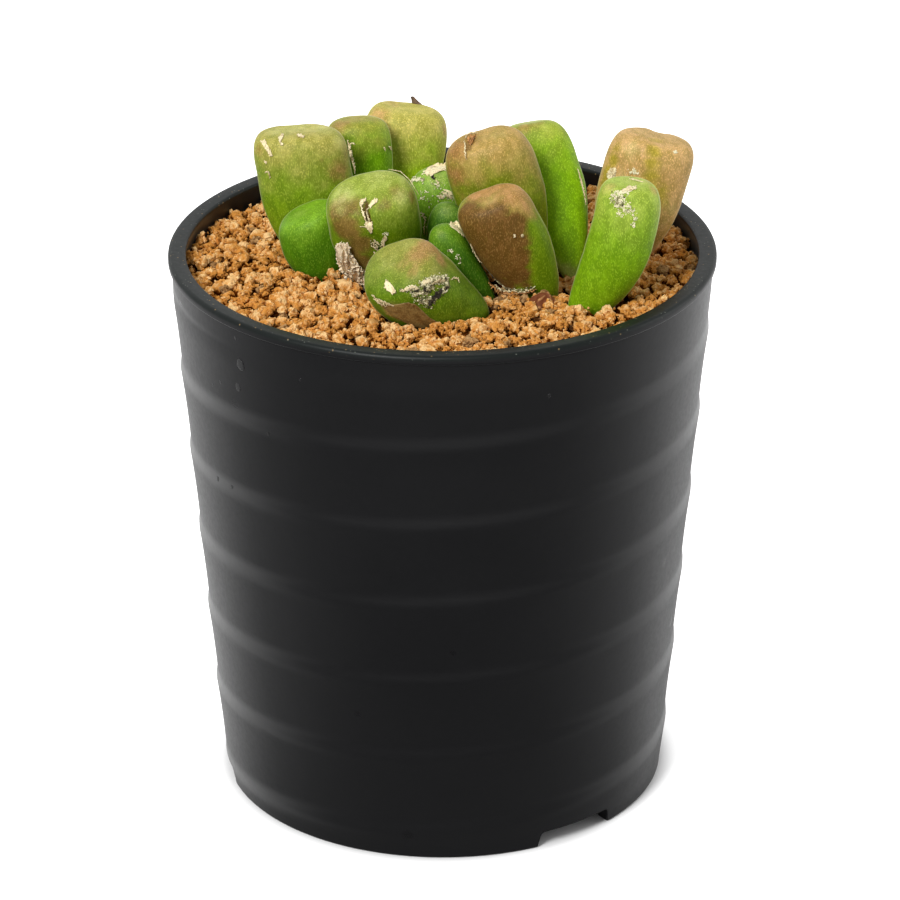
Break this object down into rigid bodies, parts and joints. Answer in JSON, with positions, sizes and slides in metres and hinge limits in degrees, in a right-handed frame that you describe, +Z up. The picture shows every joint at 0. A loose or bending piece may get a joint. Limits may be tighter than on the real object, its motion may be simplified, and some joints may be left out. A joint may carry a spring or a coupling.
{
  "type": "potted conophytum",
  "caption": "Clump of cone-shaped succulent heads in clay granules, in a tall round black nursery pot with a shallow screw ridge and a notched foot.",
  "frame": {"origin": "centre of the pot's foot, at the level that it stands on", "axes": "+Z up along the pot's axis, -Y towards the side with the low leaning head"},
  "size_m": [0.075, 0.075, 0.0961],
  "materials": {
    "pot_plastic": "black moulded plastic, satin",
    "clay_granules": "rough baked clay granules",
    "head_left_tall_skin": "fleshy plant skin with a soft sheen",
    "head_left_small_skin": "fleshy plant skin with a soft sheen",
    "head_back_green_skin": "fleshy plant skin with a soft sheen",
    "head_back_twin_skin": "fleshy plant skin with a soft sheen",
    "head_centre_skin": "fleshy plant skin with a soft sheen",
    "head_mossy_skin": "fleshy plant skin with a soft sheen",
    "head_tiny_skin": "fleshy plant skin with a soft sheen",
    "head_leaning_small_skin": "fleshy plant skin with a soft sheen",
    "head_front_low_skin": "fleshy plant skin with a soft sheen",
    "head_brown_tall_skin": "fleshy plant skin with a soft sheen",
    "head_brown_front_skin": "fleshy plant skin with a soft sheen",
    "head_green_tall_skin": "fleshy plant skin with a soft sheen",
    "head_green_curved_skin": "fleshy plant skin with a soft sheen",
    "head_right_twin_skin": "fleshy plant skin with a soft sheen",
    "dried_sheath_paper": "dry papery leaf skin",
    "dried_skin_paper": "dry brown leaf skin",
    "dried_flower": "dry flower remnant",
    "shrivelled_skin": "dry wrinkled plant skin"
  },
  "bodies": {
    "root": {"pot": "pot_plastic", "soil": "clay_granules", "head_left_tall": "head_left_tall_skin", "head_left_small": "head_left_small_skin", "head_back_green": "head_back_green_skin", "head_back_twin": "head_back_twin_skin", "head_centre": "head_centre_skin", "head_mossy": "head_mossy_skin", "head_tiny": "head_tiny_skin", "head_leaning_small": "head_leaning_small_skin", "head_front_low": "head_front_low_skin", "head_brown_tall": "head_brown_tall_skin", "head_brown_front": "head_brown_front_skin", "head_green_tall": "head_green_tall_skin", "head_green_curved": "head_green_curved_skin", "head_right_twin": "head_right_twin_skin", "dried_sheath": "dried_sheath_paper", "dried_skin_front": "dried_skin_paper", "flower_stub": "dried_flower", "shrivelled_head": "shrivelled_skin"}
  },
  "joints": []
}
